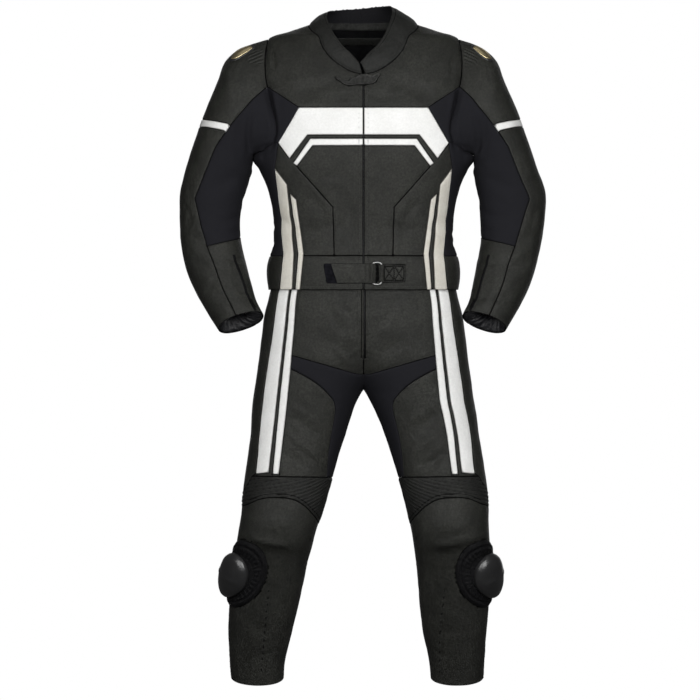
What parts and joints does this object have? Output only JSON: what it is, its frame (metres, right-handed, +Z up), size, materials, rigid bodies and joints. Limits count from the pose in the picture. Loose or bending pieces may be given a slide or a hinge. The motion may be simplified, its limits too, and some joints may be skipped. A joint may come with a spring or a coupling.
{
  "type": "motorcycle race suit",
  "caption": "Two-piece leather motorcycle race suit with stretch panels, chest band, side stripes and knee sliders, filled out as worn with nobody in it.",
  "frame": {"origin": "on the wearer's centre line between the tops of the two shoulders, where the shoulders hold the suit up", "axes": "+Z up, the front faces -Y, +X to the wearer's left"},
  "size_m": [0.8428, 0.268, 1.5466],
  "materials": {
    "black_leather": "satin, fine grain",
    "white_leather": "satin, smooth",
    "pale_leather": "satin, slightly metallic",
    "stretch_cloth": "matte ribbed stretch weave",
    "zip_tape": "matte woven tape",
    "dark_metal": "satin, darkened",
    "brass_plate": "brushed",
    "puck_plastic": "gloss"
  },
  "bodies": {
    "root": {"back": "black_leather", "belt_anchor": "black_leather", "belt_ring": "dark_metal", "belt_strap": "black_leather", "chest_band_left": "white_leather", "chest_band_right": "white_leather", "chest_line_left": "white_leather", "chest_line_right": "white_leather", "chest_stretch_left": "stretch_cloth", "chest_stretch_right": "stretch_cloth", "collar": "black_leather", "collar_tab": "black_leather", "crotch_stretch": "stretch_cloth", "fly_zip": "zip_tape", "forearm_inner_left": "black_leather", "forearm_inner_right": "black_leather", "front_centre_left": "black_leather", "front_centre_right": "black_leather", "front_side_left": "black_leather", "front_side_right": "black_leather", "front_yoke_left": "black_leather", "front_yoke_right": "black_leather", "front_zip": "zip_tape", "hip_front_left": "black_leather", "hip_front_right": "black_leather", "knee_band_left": "stretch_cloth", "knee_band_right": "stretch_cloth", "knee_shin_left": "black_leather", "knee_shin_right": "black_leather", "leg_back_left": "black_leather", "leg_back_right": "black_leather", "leg_stripe_thin_left": "white_leather", "leg_stripe_thin_right": "white_leather", "leg_stripe_wide_left": "white_leather", "leg_stripe_wide_right": "white_leather", "shoulder_plate_left": "brass_plate", "shoulder_plate_right": "brass_plate", "side_stretch_left": "stretch_cloth", "side_stretch_right": "stretch_cloth", "sleeve_band_left": "white_leather", "sleeve_band_right": "white_leather", "sleeve_outer_left": "black_leather", "sleeve_outer_right": "black_leather", "sleeve_shoulder_left": "black_leather", "sleeve_shoulder_right": "black_leather", "sleeve_stretch_left": "stretch_cloth", "sleeve_stretch_right": "stretch_cloth", "slider_base_left": "black_leather", "slider_base_right": "black_leather", "slider_puck_left": "puck_plastic", "slider_puck_right": "puck_plastic", "stripe_thin_left": "pale_leather", "stripe_thin_right": "pale_leather", "stripe_wide_left": "pale_leather", "stripe_wide_right": "pale_leather", "thigh_front_left": "black_leather", "thigh_front_right": "black_leather", "waist_back": "black_leather", "waist_front_left": "black_leather", "waist_front_right": "black_leather"}
  },
  "joints": []
}
